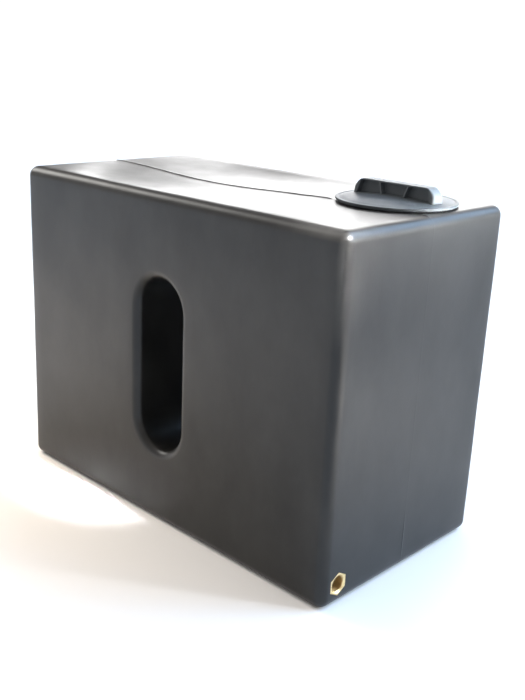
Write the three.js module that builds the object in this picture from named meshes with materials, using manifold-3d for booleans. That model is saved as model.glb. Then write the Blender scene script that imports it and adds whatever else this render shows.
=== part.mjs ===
// Upright fresh water tank: a hollow moulded body with a strap tunnel through its middle,
// a screw-in filler lid with a grip bar on top, and a brass outlet low on one end.
// Millimetres, +Z up. The origin is the middle of the base, +X is the outlet end, -Y is the front.

import * as THREE from 'three';
import { RoundedBoxGeometry } from 'three/addons/geometries/RoundedBoxGeometry.js';
import { mergeVertices } from 'three/addons/utils/BufferGeometryUtils.js';
import Module from 'manifold-3d';

const wasm = await Module();
wasm.setup();

// Body
const LENGTH = 708;
const WIDTH = 370;
const HEIGHT = 535;
const EDGE_RADIUS = 16;
const WALL = 5;

// The top panel has sunk a little as the moulding cooled, most of all left of the middle.
const DISH_DEPTH = 8.5;
const DISH_X = -70;
const DISH_REACH = 165;
const PAD_BLEND = 60;

// Strap tunnel, an upright slot that runs through from front to back
const TUNNEL_Z = 264;
const TUNNEL_HALF_WIDTH = 50;
const TUNNEL_HALF_HEIGHT = 140;
const TUNNEL_MOUTH_RADIUS = 14;
const TUNNEL_DRAFT = 1.5;

// Filler: where it stands, and its rings measured from the top of the body
const FILLER_X = 247.5;
const FILLER_Y = 58.5;
const GAP = 0.3;
const GASKET_THICKNESS = 0.7;
const GASKET_RADIUS = 85;
const FLANGE_THICKNESS = 2;
const FLANGE_RADIUS = 88.5;
const BARREL_RADIUS = 70;
const BARREL_BORE_RADIUS = 66;
const BARREL_DEPTH = 22;
const LID_RADIUS = 90;
const LID_THICKNESS = 2.1;
const SKIRT_RADIUS = 62.5;
const SKIRT_WALL = 3.5;
const SKIRT_DEPTH = 20.4;
const GASKET_Z = GAP;
const FLANGE_Z = GASKET_Z + GASKET_THICKNESS + GAP;
const FLANGE_TOP = FLANGE_Z + FLANGE_THICKNESS;
const LID_Z = FLANGE_TOP + GAP;
const LID_TOP = LID_Z + LID_THICKNESS;

// Seal between the lid and the ring, half sunk in a groove in each
const SEAL_INNER_RADIUS = 68.3;
const SEAL_OUTER_RADIUS = 72.7;
const SEAL_THICKNESS = 1.6;

// Two-start thread that the lid screws down
const THREAD_LEAD = 12;
const THREAD_STARTS = 2;
const THREAD_DEPTH = 2.8;
const THREAD_ROOT_HALF = 1.6;
const THREAD_CREST_HALF = 0.9;
const THREAD_OVERLAP = 0.4;
const RING_THREAD_TURNS = 1.35;
const LID_THREAD_TURNS = 1.2;
const RING_THREAD_Z = -15;
const LID_THREAD_Z = RING_THREAD_Z + THREAD_LEAD / THREAD_STARTS / 2;

// Screws that hold the ring to the body
const SCREW_COUNT = 8;
const SCREW_CIRCLE_RADIUS = 79;
const SCREW_RADIUS = 1.6;
const SCREW_HEAD_RADIUS = 2.8;
const SCREW_HEAD_RIM = 0.4;
const SCREW_LENGTH = 17;
const SCREW_POINT = 4;
const RECESS_LENGTH = 3.4;
const RECESS_WIDTH = 0.8;
const RECESS_DEPTH = 1;

// The lid's top is a low dome inside its level rim.
const DOME_RADIUS = 84;
const DOME_RISE = 5.5;

// Grip bar on the lid, measured from the rim's level: ends rounded over at the top, a central web and
// cross ribs under a top flange. The ribs lean outward as they rise, and the ends lean inward.
const GRIP_LENGTH = 142;
const GRIP_WIDTH = 27;
const GRIP_HEIGHT = 23.8;
const GRIP_SHOULDER = 5;
const GRIP_END_ROUND = 17.5;
const GRIP_CORNER = 4;
const GRIP_TOP_ROUND = 3;
const GRIP_DRAFT = 3;
const GRIP_WEB = 4.4;
const GRIP_RIB = 2.6;
const GRIP_FLANGE = 2.5;
const RIB_FOOT_X = 18;
const RIB_HEAD_X = 25;
const END_FOOT_X = 65;
const END_HEAD_X = 59;

// Air vent in the lid, closed by a rubber umbrella valve
const VENT_Y = 38;
const VENT_STEM_RADIUS = 2.2;
const VENT_FLAP_RADIUS = 8;
const VENT_BULB_RADIUS = 3.4;
const VENT_HOLE_RADIUS = 0.9;
const VENT_HOLE_CIRCLE_RADIUS = 5;
const VENT_HOLES = 4;
const VENT_PAD_RADIUS = 10;
const VENT_PAD_RISE = 3;
const VENT_RECESS_RADIUS = 6.5;

// Brass outlet, a hexagonal socket with a 3/4 inch pipe thread, moulded into the +X end
const OUTLET_Y = -150;
const OUTLET_Z = 33.5;
const OUTLET_ACROSS_FLATS = 32;
const OUTLET_LENGTH = 22;
const OUTLET_BORE_RADIUS = 12.1;
const OUTLET_GROOVE_RADIUS = 14.5;
const OUTLET_GROOVE_LENGTH = 6;
const BOSS_RADIUS = 25;
const BOSS_LENGTH = 24;

// Facets
const EDGE_STEPS = 3;
const ARC_STEPS = 12;
const MOUTH_STEPS = 3;
const CORNER_STEPS = 4;
const DOME_STEPS = 5;
const GRIP_ROUND_STEPS = 5;
const ROUND_STEPS = 48;
const SMALL_ROUND_STEPS = 12;
const THREAD_STEPS_PER_TURN = 32;
const DISH_CELLS_X = 16;
const DISH_CELLS_Y = 8;
const CUT_MARGIN = 2;

const moulded = { color: 0x1e1f21, roughness: 0.38, metalness: 0 };
const lidPlastic = { color: 0x17181a, roughness: 0.5, metalness: 0 };
const rubber = { color: 0x121212, roughness: 0.8, metalness: 0 };
const brass = { color: 0xb5903f, roughness: 0.35, metalness: 1 };
const steel = { color: 0x9a9da1, roughness: 0.35, metalness: 1 };

// ---------------------------------------------------------------- geometry helpers

// A closed solid from a three.js geometry, ready to cut and join.
function solid(geometry) {
	const bare = geometry.clone();
	bare.deleteAttribute('normal');
	bare.deleteAttribute('uv');
	const merged = mergeVertices(bare);
	const corners = merged.index.array;
	const triangles = [];
	for (let i = 0; i < corners.length; i += 3) {
		const [a, b, c] = corners.slice(i, i + 3);
		if (a !== b && b !== c && c !== a) triangles.push(a, b, c);
	}
	return new wasm.Manifold(new wasm.Mesh({
		numProp: 3,
		vertProperties: new Float32Array(merged.attributes.position.array),
		triVerts: new Uint32Array(triangles),
	}));
}

function geometryOf(manifold) {
	const { numProp, vertProperties, triVerts } = manifold.getMesh();
	const positions = [];
	for (let i = 0; i < vertProperties.length; i += numProp) {
		positions.push(...vertProperties.slice(i, i + 3));
	}
	const geometry = new THREE.BufferGeometry();
	geometry.setAttribute('position', new THREE.Float32BufferAttribute(positions, 3));
	geometry.setIndex(Array.from(triVerts));
	geometry.computeVertexNormals();
	return geometry;
}

function join(solids) {
	return solids.reduce((whole, next) => whole.add(next));
}

function cut(whole, cutters) {
	return cutters.reduce((rest, cutter) => rest.subtract(cutter), whole);
}

// Joins rings of points, each counter-clockwise about the direction of travel, into a closed skin.
function loft(rings) {
	const count = rings[0].length;
	const points = rings.flat();
	const last = (rings.length - 1) * count;
	const middle = (ring) => ring.reduce((sum, p) => sum.add(p), new THREE.Vector3()).divideScalar(count);
	const firstMiddle = points.push(middle(rings[0])) - 1;
	const lastMiddle = points.push(middle(rings[rings.length - 1])) - 1;
	const index = [];
	for (let j = 0; j < count; j++) {
		const k = (j + 1) % count;
		for (let row = 0; row < last; row += count) {
			index.push(row + j, row + k, row + count + k);
			index.push(row + j, row + count + k, row + count + j);
		}
		index.push(firstMiddle, k, j);
		index.push(lastMiddle, last + j, last + k);
	}
	const geometry = new THREE.BufferGeometry();
	geometry.setAttribute('position', new THREE.Float32BufferAttribute(points.flatMap((p) => [p.x, p.y, p.z]), 3));
	geometry.setIndex(index);
	return geometry;
}

// A level rectangle with round corners at height z.
function roundedRectangle(halfX, halfY, radius, z, steps) {
	const corners = [[1, 1], [-1, 1], [-1, -1], [1, -1]];
	return corners.flatMap(([signX, signY], corner) => {
		const points = [];
		for (let i = 0; i <= steps; i++) {
			const angle = (corner + i / steps) * Math.PI / 2;
			const x = signX * (halfX - radius) + radius * Math.cos(angle);
			const y = signY * (halfY - radius) + radius * Math.sin(angle);
			points.push(new THREE.Vector3(x, y, z));
		}
		return points;
	});
}

// Turns a profile of [radius, height] pairs, counter-clockwise, about the Z axis.
function turned(profile, steps = ROUND_STEPS) {
	const points = profile.map(([radius, height]) => new THREE.Vector2(radius, height));
	return new THREE.LatheGeometry(points, steps).rotateX(Math.PI / 2);
}

// An upright cylinder, or a prism with few sides, from z = low to z = high.
function post(radius, low, high, steps = SMALL_ROUND_STEPS) {
	return new THREE.CylinderGeometry(radius, radius, high - low, steps)
		.rotateX(Math.PI / 2)
		.translate(0, 0, (low + high) / 2);
}

function block(low, high) {
	const size = high.map((value, axis) => value - low[axis]);
	const middle = high.map((value, axis) => (value + low[axis]) / 2);
	return new THREE.BoxGeometry(...size).translate(...middle);
}

function ringPoints(count, radius, firstAngle = 0) {
	return Array.from({ length: count }, (_, i) => {
		const angle = firstAngle + (i / count) * 2 * Math.PI;
		return [radius * Math.cos(angle), radius * Math.sin(angle)];
	});
}

// ---------------------------------------------------------------- body

// How far the top panel lies below the level of its edges. The pad under the filler stays level.
function dishDepth(x, y) {
	const u = x / (LENGTH / 2 - EDGE_RADIUS);
	const v = y / (WIDTH / 2 - EDGE_RADIUS);
	const edge = (1 - u ** 6) * (1 - v ** 4);
	const along = Math.exp(-(((x - DISH_X) / DISH_REACH) ** 2));
	const toFiller = Math.hypot(x - FILLER_X, y - FILLER_Y);
	const pad = THREE.MathUtils.smoothstep(toFiller, LID_RADIUS, LID_RADIUS + PAD_BLEND);
	return DISH_DEPTH * along * edge * pad;
}

// Everything above the sunken top panel, or above its underside.
function aboveTop(wall) {
	const clearance = 0.2;
	const depth = 40;
	const geometry = new THREE.BoxGeometry(
		LENGTH - 2 * EDGE_RADIUS, WIDTH - 2 * EDGE_RADIUS, depth, DISH_CELLS_X, DISH_CELLS_Y, 1,
	);
	const position = geometry.attributes.position;
	for (let i = 0; i < position.count; i++) {
		if (position.getZ(i) < 0) {
			const drop = dishDepth(position.getX(i), position.getY(i));
			position.setZ(i, HEIGHT - wall + clearance - drop);
		} else {
			position.setZ(i, HEIGHT + depth);
		}
	}
	return solid(geometry);
}

function roundedBody(wall) {
	const geometry = new RoundedBoxGeometry(
		LENGTH - 2 * wall, WIDTH - 2 * wall, HEIGHT - 2 * wall, EDGE_STEPS, EDGE_RADIUS - wall,
	);
	return solid(geometry.translate(0, 0, HEIGHT / 2));
}

// The slot through the body. With a wall it is the outside of the tunnel's own wall.
function tunnel(wall) {
	const mouth = TUNNEL_MOUTH_RADIUS - wall;
	const face = WIDTH / 2 - wall;
	const stations = [[-face - CUT_MARGIN - wall, mouth]];
	for (let i = 0; i <= MOUTH_STEPS; i++) {
		const angle = (i / MOUTH_STEPS) * Math.PI / 2;
		stations.push([-face + mouth * (1 - Math.cos(angle)), mouth * (1 - Math.sin(angle))]);
	}
	const farHalf = stations.map(([y, flare]) => [-y, flare]).reverse();
	stations.push([0, -TUNNEL_DRAFT], ...farHalf);
	const rings = stations.map(([y, flare]) => {
		const halfX = TUNNEL_HALF_WIDTH + wall + flare;
		const halfZ = TUNNEL_HALF_HEIGHT + wall + flare;
		const smallFlat = 0.5;
		return roundedRectangle(halfX, halfZ, halfX - smallFlat, y, ARC_STEPS / 2);
	});
	return solid(loft(rings).rotateX(-Math.PI / 2).translate(0, 0, TUNNEL_Z));
}

// Stands a piece drawn along +Z at the outlet, with z = 0 on the end face and +Z pointing inward.
function atOutlet(geometry) {
	return geometry.rotateY(-Math.PI / 2).translate(LENGTH / 2, OUTLET_Y, OUTLET_Z);
}

function atFiller(geometry) {
	return geometry.translate(FILLER_X, FILLER_Y, HEIGHT);
}

// The socket's outside, grown by a clearance: a hexagon with a round groove that locks it in the plastic.
function outletBody(clearance) {
	const hexRadius = (OUTLET_ACROSS_FLATS / 2 + clearance) / Math.cos(Math.PI / 6);
	const front = clearance > 0 ? -CUT_MARGIN : 0;
	const grooveLow = (OUTLET_LENGTH - OUTLET_GROOVE_LENGTH) / 2 + clearance;
	const grooveHigh = (OUTLET_LENGTH + OUTLET_GROOVE_LENGTH) / 2 - clearance;
	const hexagon = (low, high) => solid(atOutlet(post(hexRadius, low, high, 6).rotateZ(Math.PI / 6)));
	return join([
		hexagon(front, grooveLow),
		hexagon(grooveHigh, OUTLET_LENGTH + clearance),
		solid(atOutlet(post(OUTLET_GROOVE_RADIUS + clearance, 1, OUTLET_LENGTH - 1, ROUND_STEPS))),
	]);
}

function tankShell() {
	const boss = solid(atOutlet(post(BOSS_RADIUS, 0, BOSS_LENGTH, ROUND_STEPS)));
	const cavity = cut(roundedBody(WALL), [tunnel(WALL), aboveTop(WALL), boss]);
	const fillerHole = solid(atFiller(post(BARREL_RADIUS + GAP, -4 * WALL, CUT_MARGIN, ROUND_STEPS)));
	const outletHole = solid(atOutlet(post(OUTLET_BORE_RADIUS, 0, BOSS_LENGTH + CUT_MARGIN, ROUND_STEPS)));
	const screwHoles = screwPlaces().map(([x, y]) => solid(atFiller(screwClearance().translate(x, y, 0))));
	const cutters = [tunnel(0), aboveTop(0), cavity, fillerHole, outletBody(GAP), outletHole, ...screwHoles];
	return geometryOf(cut(roundedBody(0), cutters));
}

function outletInsert() {
	const bore = solid(atOutlet(post(OUTLET_BORE_RADIUS, -CUT_MARGIN, OUTLET_LENGTH + CUT_MARGIN, ROUND_STEPS)));
	return geometryOf(cut(outletBody(0), [bore]));
}

// ---------------------------------------------------------------- filler

// Thread ridges: one helix for each start, with a straight-sided section from inner to outer radius.
function threadRidges({ inner, innerHalf, outer, outerHalf, z, turns }) {
	const steps = Math.round(turns * THREAD_STEPS_PER_TURN);
	const section = [[inner, -innerHalf], [inner, innerHalf], [outer, outerHalf], [outer, -outerHalf]];
	const ridges = [];
	for (let start = 0; start < THREAD_STARTS; start++) {
		const rings = [];
		for (let i = 0; i <= steps; i++) {
			const turn = (i / steps) * turns;
			const angle = (turn + start / THREAD_STARTS) * 2 * Math.PI;
			const height = z + turn * THREAD_LEAD;
			rings.push(section.map(([radius, offset]) => new THREE.Vector3(
				radius * Math.cos(angle), radius * Math.sin(angle), height + offset,
			)));
		}
		ridges.push(solid(loft(rings)));
	}
	return ridges;
}

function screwPlaces() {
	return ringPoints(SCREW_COUNT, SCREW_CIRCLE_RADIUS, Math.PI / SCREW_COUNT);
}

// Outline of a countersunk screw, grown by a clearance.
function screwProfile(clearance) {
	const top = FLANGE_TOP - GAP + (clearance > 0 ? CUT_MARGIN : 0);
	const rim = FLANGE_TOP - GAP - SCREW_HEAD_RIM;
	const shoulder = rim - (SCREW_HEAD_RADIUS - SCREW_RADIUS);
	const tip = FLANGE_TOP - GAP - SCREW_LENGTH - clearance;
	return [
		[0, tip],
		[SCREW_RADIUS + clearance, tip + SCREW_POINT],
		[SCREW_RADIUS + clearance, shoulder],
		[SCREW_HEAD_RADIUS + clearance, rim],
		[SCREW_HEAD_RADIUS + clearance, top],
		[0, top],
	];
}

function screwClearance() {
	return turned(screwProfile(GAP), SMALL_ROUND_STEPS);
}

function ringScrew() {
	const top = FLANGE_TOP - GAP;
	const long = RECESS_LENGTH / 2;
	const short = RECESS_WIDTH / 2;
	const recess = [
		solid(block([-long, -short, top - RECESS_DEPTH], [long, short, top + CUT_MARGIN])),
		solid(block([-short, -long, top - RECESS_DEPTH], [short, long, top + CUT_MARGIN])),
	];
	return geometryOf(cut(solid(turned(screwProfile(0), SMALL_ROUND_STEPS)), recess));
}

function ringGasket() {
	const top = GASKET_Z + GASKET_THICKNESS;
	const inner = BARREL_RADIUS + GAP;
	const ring = turned([
		[inner, GASKET_Z],
		[GASKET_RADIUS, GASKET_Z],
		[GASKET_RADIUS, top],
		[inner, top],
		[inner, GASKET_Z],
	]);
	const holes = screwPlaces().map(([x, y]) => solid(screwClearance().translate(x, y, 0)));
	return geometryOf(cut(solid(ring), holes));
}

function fillerRing() {
	const grooveFloor = LID_Z - GAP / 2 - SEAL_THICKNESS / 2 - GAP;
	const ring = turned([
		[BARREL_BORE_RADIUS, FLANGE_TOP - BARREL_DEPTH],
		[BARREL_RADIUS, FLANGE_TOP - BARREL_DEPTH],
		[BARREL_RADIUS, FLANGE_Z],
		[FLANGE_RADIUS, FLANGE_Z],
		[FLANGE_RADIUS, FLANGE_TOP],
		[SEAL_OUTER_RADIUS + GAP, FLANGE_TOP],
		[SEAL_OUTER_RADIUS + GAP, grooveFloor],
		[SEAL_INNER_RADIUS - GAP, grooveFloor],
		[SEAL_INNER_RADIUS - GAP, FLANGE_TOP],
		[BARREL_BORE_RADIUS, FLANGE_TOP],
		[BARREL_BORE_RADIUS, FLANGE_TOP - BARREL_DEPTH],
	]);
	const thread = threadRidges({
		inner: BARREL_BORE_RADIUS - THREAD_DEPTH,
		innerHalf: THREAD_CREST_HALF,
		outer: BARREL_BORE_RADIUS + THREAD_OVERLAP,
		outerHalf: THREAD_ROOT_HALF,
		z: RING_THREAD_Z,
		turns: RING_THREAD_TURNS,
	});
	const holes = screwPlaces().map(([x, y]) => solid(screwClearance().translate(x, y, 0)));
	return geometryOf(cut(join([solid(ring), ...thread]), holes));
}

function lidSeal() {
	const low = LID_Z - GAP / 2 - SEAL_THICKNESS / 2;
	return turned([
		[SEAL_INNER_RADIUS, low],
		[SEAL_OUTER_RADIUS, low],
		[SEAL_OUTER_RADIUS, low + SEAL_THICKNESS],
		[SEAL_INNER_RADIUS, low + SEAL_THICKNESS],
		[SEAL_INNER_RADIUS, low],
	]);
}

// ---------------------------------------------------------------- lid

// How far the lid's top stands over its rim.
function domeHeight(radius) {
	return DOME_RISE * Math.max(0, 1 - (radius / DOME_RADIUS) ** 2);
}

// The lid's disc and skirt. The disc keeps its thickness over the dome.
function lidDisc() {
	const grooveRoof = LID_Z - GAP / 2 + SEAL_THICKNESS / 2 + GAP;
	const bevel = 0.7;
	const skirtBore = SKIRT_RADIUS - SKIRT_WALL;
	const underside = [];
	const top = [];
	for (let i = 0; i <= DOME_STEPS; i++) {
		const share = i / DOME_STEPS;
		underside.push([skirtBore * share, LID_Z + domeHeight(skirtBore * share)]);
		top.push([DOME_RADIUS * (1 - share), LID_TOP + domeHeight(DOME_RADIUS * (1 - share))]);
	}
	return solid(turned([
		...underside,
		[skirtBore, LID_Z - SKIRT_DEPTH],
		[SKIRT_RADIUS, LID_Z - SKIRT_DEPTH],
		[SKIRT_RADIUS, LID_Z],
		[SEAL_INNER_RADIUS - GAP, LID_Z],
		[SEAL_INNER_RADIUS - GAP, grooveRoof],
		[SEAL_OUTER_RADIUS + GAP, grooveRoof],
		[SEAL_OUTER_RADIUS + GAP, LID_Z],
		[LID_RADIUS - bevel, LID_Z],
		[LID_RADIUS, LID_Z + bevel],
		[LID_RADIUS, LID_TOP - bevel],
		[LID_RADIUS - bevel, LID_TOP],
		...top,
	]));
}

// The bar has rounded corners in plan, narrows a little upward and is rounded down at both ends.
function gripBar() {
	const level = (z, inset) => {
		const lean = GRIP_DRAFT * z / GRIP_HEIGHT;
		const over = Math.max(0, z - (GRIP_HEIGHT - GRIP_TOP_ROUND));
		const topRound = GRIP_TOP_ROUND - Math.sqrt(GRIP_TOP_ROUND ** 2 - over ** 2);
		const halfWidth = GRIP_WIDTH / 2 - lean - topRound;
		const halfLength = GRIP_LENGTH / 2 - inset;
		return roundedRectangle(halfLength, halfWidth, GRIP_CORNER, LID_TOP + z, CORNER_STEPS);
	};
	const rings = [level(0, 0)];
	for (let i = 0; i <= GRIP_ROUND_STEPS; i++) {
		const angle = (i / GRIP_ROUND_STEPS) * Math.PI / 2;
		const z = GRIP_SHOULDER + (GRIP_HEIGHT - GRIP_SHOULDER) * Math.sin(angle);
		rings.push(level(z, GRIP_END_ROUND * (1 - Math.cos(angle))));
	}
	return solid(loft(rings));
}

// The finger pockets on both sides of the web, between the leaning ribs.
function gripPockets() {
	const top = GRIP_HEIGHT - GRIP_FLANGE;
	const rib = GRIP_RIB / 2;
	const outlines = [
		[[-RIB_FOOT_X + rib, 0], [RIB_FOOT_X - rib, 0], [RIB_HEAD_X - rib, top], [-RIB_HEAD_X + rib, top]],
		[[RIB_FOOT_X + rib, 0], [END_FOOT_X, 0], [END_HEAD_X, top], [RIB_HEAD_X + rib, top]],
		[[-END_FOOT_X, 0], [-RIB_FOOT_X - rib, 0], [-RIB_HEAD_X - rib, top], [-END_HEAD_X, top]],
	];
	return outlines.flatMap((outline) => [-1, 1].map((side) => {
		const shape = new THREE.Shape(outline.map(([x, z]) => new THREE.Vector2(x, z)));
		const pocket = new THREE.ExtrudeGeometry(shape, { depth: GRIP_WIDTH, bevelEnabled: false, steps: 1 });
		const nearWeb = side < 0 ? -GRIP_WEB / 2 : GRIP_WEB / 2 + GRIP_WIDTH;
		return solid(pocket.rotateX(Math.PI / 2).translate(0, nearWeb, LID_TOP));
	}));
}

function lid() {
	const thread = threadRidges({
		inner: SKIRT_RADIUS - THREAD_OVERLAP,
		innerHalf: THREAD_ROOT_HALF,
		outer: SKIRT_RADIUS + THREAD_DEPTH,
		outerHalf: THREAD_CREST_HALF,
		z: LID_THREAD_Z,
		turns: LID_THREAD_TURNS,
	});
	const ventHoles = [[0, 0], ...ringPoints(VENT_HOLES, VENT_HOLE_CIRCLE_RADIUS)].map(([x, y], i) => {
		const radius = i === 0 ? VENT_STEM_RADIUS + GAP : VENT_HOLE_RADIUS;
		return solid(post(radius, LID_Z - 1, LID_TOP + 1).translate(x, y + VENT_Y, 0));
	});
	const ventPad = solid(post(VENT_PAD_RADIUS, LID_Z, LID_TOP + VENT_PAD_RISE).translate(0, VENT_Y, 0));
	const ventRecess = solid(post(VENT_RECESS_RADIUS, LID_TOP, LID_TOP + DOME_RISE).translate(0, VENT_Y, 0));
	const grip = cut(gripBar(), gripPockets());
	return geometryOf(cut(join([lidDisc(), grip, ventPad, ...thread]), [ventRecess, ...ventHoles]));
}

function ventValve() {
	const flapTop = LID_Z - GAP;
	const bulbLow = LID_TOP + GAP;
	const flapThickness = 0.6;
	const flapDepth = 1.8;
	return turned([
		[0, flapTop - flapDepth],
		[VENT_STEM_RADIUS, flapTop - flapDepth],
		[VENT_FLAP_RADIUS, flapTop - flapThickness],
		[VENT_FLAP_RADIUS, flapTop],
		[VENT_STEM_RADIUS, flapTop],
		[VENT_STEM_RADIUS, bulbLow],
		[VENT_BULB_RADIUS, bulbLow],
		[VENT_BULB_RADIUS, bulbLow + 0.5],
		[VENT_STEM_RADIUS, bulbLow + 2],
		[0, bulbLow + 2],
	], SMALL_ROUND_STEPS).translate(0, VENT_Y, 0);
}

// ---------------------------------------------------------------- assembly

function part(name, geometry, finish) {
	const mesh = new THREE.Mesh(geometry, new THREE.MeshStandardMaterial(finish));
	mesh.name = name;
	return mesh;
}

const filler = new THREE.Group();
filler.position.set(FILLER_X, FILLER_Y, HEIGHT);
filler.add(part('ring_gasket', ringGasket(), rubber));
filler.add(part('filler_ring', fillerRing(), lidPlastic));
screwPlaces().forEach(([x, y], i) => {
	const screw = part(`ring_screw_${i + 1}`, ringScrew(), steel);
	screw.position.set(x, y, 0);
	filler.add(screw);
});
filler.add(part('lid_seal', lidSeal(), rubber));
filler.add(part('lid', lid(), lidPlastic));
filler.add(part('vent_valve', ventValve(), rubber));

const tank = new THREE.Group();
tank.add(part('tank_shell', tankShell(), moulded));
tank.add(part('outlet_insert', outletInsert(), brass));
tank.add(filler);

export default tank;
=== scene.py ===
# Fresh water tank: the finished surfaces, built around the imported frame. Metres, +Z up, -Y is the front.

import math

import bmesh
import bpy
import numpy as np
from mathutils import Matrix, Vector, noise


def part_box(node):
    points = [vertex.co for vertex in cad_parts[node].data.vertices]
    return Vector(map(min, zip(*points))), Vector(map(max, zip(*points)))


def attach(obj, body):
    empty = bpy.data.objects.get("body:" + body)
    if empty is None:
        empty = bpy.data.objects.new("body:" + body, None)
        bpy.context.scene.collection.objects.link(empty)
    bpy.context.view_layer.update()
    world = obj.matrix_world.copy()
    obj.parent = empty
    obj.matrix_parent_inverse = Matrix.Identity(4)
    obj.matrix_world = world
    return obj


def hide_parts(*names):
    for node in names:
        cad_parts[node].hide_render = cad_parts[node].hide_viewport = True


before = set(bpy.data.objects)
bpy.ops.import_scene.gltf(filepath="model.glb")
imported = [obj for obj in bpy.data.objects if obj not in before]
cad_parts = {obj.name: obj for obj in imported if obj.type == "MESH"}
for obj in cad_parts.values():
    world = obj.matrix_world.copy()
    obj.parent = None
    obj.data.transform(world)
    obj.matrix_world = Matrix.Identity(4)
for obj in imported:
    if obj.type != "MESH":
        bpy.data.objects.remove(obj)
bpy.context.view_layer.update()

MM = 0.001
GAP = 0.3 * MM  # between pieces that meet
_, SHELL_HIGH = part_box("tank_shell")
LID_LOW, LID_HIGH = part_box("lid")
RING_LOW, RING_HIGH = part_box("filler_ring")
GASKET_LOW, GASKET_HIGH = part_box("ring_gasket")
SEAL_LOW, SEAL_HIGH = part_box("lid_seal")
VALVE_LOW, VALVE_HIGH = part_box("vent_valve")
INSERT_LOW, INSERT_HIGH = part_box("outlet_insert")

# Body
HALF_X = SHELL_HIGH.x
HALF_Y = SHELL_HIGH.y
TOP = SHELL_HIGH.z
EDGE = 16 * MM
WALL = 5 * MM
DISH_DEPTH = 8.5 * MM
DISH_X = -70 * MM
DISH_REACH = 165 * MM
PAD_BLEND = 60 * MM

# Strap tunnel
TUNNEL_Z = 264 * MM
TUNNEL_HALF_WIDTH = 50 * MM
TUNNEL_HALF_HEIGHT = 140 * MM
TUNNEL_MOUTH = 14 * MM
TUNNEL_DRAFT = 1.5 * MM

# Filler and lid
FILLER = Vector(((LID_LOW.x + LID_HIGH.x) / 2, (LID_LOW.y + LID_HIGH.y) / 2, TOP))
LID_RADIUS = (LID_HIGH.x - LID_LOW.x) / 2
FLANGE_RADIUS = (RING_HIGH.x - RING_LOW.x) / 2
GASKET_RADIUS = (GASKET_HIGH.x - GASKET_LOW.x) / 2
FLANGE_TOP = RING_HIGH.z
FLANGE_LOW = GASKET_HIGH.z + GAP
BARREL_RADIUS = 70 * MM
BARREL_BORE = 66 * MM
LID_UNDER = FLANGE_TOP + GAP
LID_TOP = LID_UNDER + 2.1 * MM
DOME_RADIUS = 84 * MM
DOME_RISE = 5.5 * MM
SKIRT_RADIUS = 62.5 * MM
SKIRT_BORE = 59 * MM
SEAL_INNER = 68.3 * MM
SEAL_OUTER = (SEAL_HIGH.x - SEAL_LOW.x) / 2
VENT_PAD = 10 * MM
VENT_PAD_RISE = 3 * MM
VENT_RECESS = 6.5 * MM

# Grip bar, measured from the level of the lid's rim
GRIP_HEIGHT = LID_HIGH.z - LID_TOP
GRIP_HALF_LENGTH = 71 * MM
GRIP_HALF_WIDTH = 13.5 * MM
GRIP_SHOULDER = 5 * MM
GRIP_END_ROUND = 17.5 * MM
GRIP_CORNER = 4 * MM
GRIP_DRAFT = 3 * MM
GRIP_WEB_HALF = 2.2 * MM
GRIP_RIB_HALF = 1.3 * MM
GRIP_FLANGE = 2.5 * MM
RIB_FOOT_X, RIB_HEAD_X = 18 * MM, 25 * MM
END_FOOT_X, END_HEAD_X = 65 * MM, 59 * MM
GRIP_CORNER_X = GRIP_HALF_LENGTH - GRIP_CORNER
GRIP_CORNER_Y = GRIP_HALF_WIDTH - GRIP_CORNER
GRIP_UNDER_FLANGE = GRIP_HEIGHT - GRIP_FLANGE
# Along half of the bar: its middle, a rib's sides, a pocket's middle and end, the corner and the tip
GRIP_STATIONS = [
    0,
    RIB_FOOT_X - GRIP_RIB_HALF,
    RIB_FOOT_X + GRIP_RIB_HALF,
    40 * MM,
    END_FOOT_X,
    GRIP_CORNER_X,
    GRIP_HALF_LENGTH,
]

# Screws of the ring
SCREW_COUNT = 8
SCREW_RADIUS = 1.6 * MM
SCREW_HEAD_RIM = 0.4 * MM

# Two-start thread of the lid and the ring
THREAD_LEAD = 12 * MM
THREAD_STARTS = 2
THREAD_DEPTH = 2.8 * MM
THREAD_ROOT_HALF = 1.6 * MM
THREAD_CREST_HALF = 0.9 * MM
THREAD_OVERLAP = 0.4 * MM
RING_THREAD_LOW = TOP - 15 * MM
LID_THREAD_LOW = RING_THREAD_LOW + THREAD_LEAD / THREAD_STARTS / 2
RING_THREAD_TURNS = 1.35
LID_THREAD_TURNS = 1.2

# Outlet
OUTLET = Vector((INSERT_HIGH.x, (INSERT_LOW.y + INSERT_HIGH.y) / 2, (INSERT_LOW.z + INSERT_HIGH.z) / 2))
OUTLET_LENGTH = INSERT_HIGH.x - INSERT_LOW.x
OUTLET_FLATS = INSERT_HIGH.y - INSERT_LOW.y
PIPE_MINOR_RADIUS = 12.1 * MM
PIPE_MAJOR_RADIUS = 13.2 * MM
PIPE_PITCH = 1.814 * MM
BOSS_RADIUS = 25 * MM
BOSS_LENGTH = 24 * MM

SMOOTH_ANGLE = math.radians(32)


# ---------------------------------------------------------------- mesh helpers

def make_object(name, vertices, faces):
    """A mesh object with outward faces, smooth except at sharp edges."""
    mesh = bpy.data.meshes.new(name)
    mesh.from_pydata([tuple(v) for v in vertices], [], [tuple(f) for f in faces])
    obj = bpy.data.objects.new(name, mesh)
    bpy.context.scene.collection.objects.link(obj)
    tidy_mesh(obj)
    return obj


def tidy_mesh(obj, merge=1e-6):
    """Merges doubled vertices, turns every face outward and marks the sharp edges."""
    bm = bmesh.new()
    bm.from_mesh(obj.data)
    bmesh.ops.remove_doubles(bm, verts=bm.verts, dist=merge)
    bmesh.ops.dissolve_degenerate(bm, dist=merge, edges=bm.edges)
    bmesh.ops.recalc_face_normals(bm, faces=bm.faces)
    bm.to_mesh(obj.data)
    bm.free()
    obj.data.shade_smooth()
    obj.data.set_sharp_from_angle(angle=SMOOTH_ANGLE)


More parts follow.
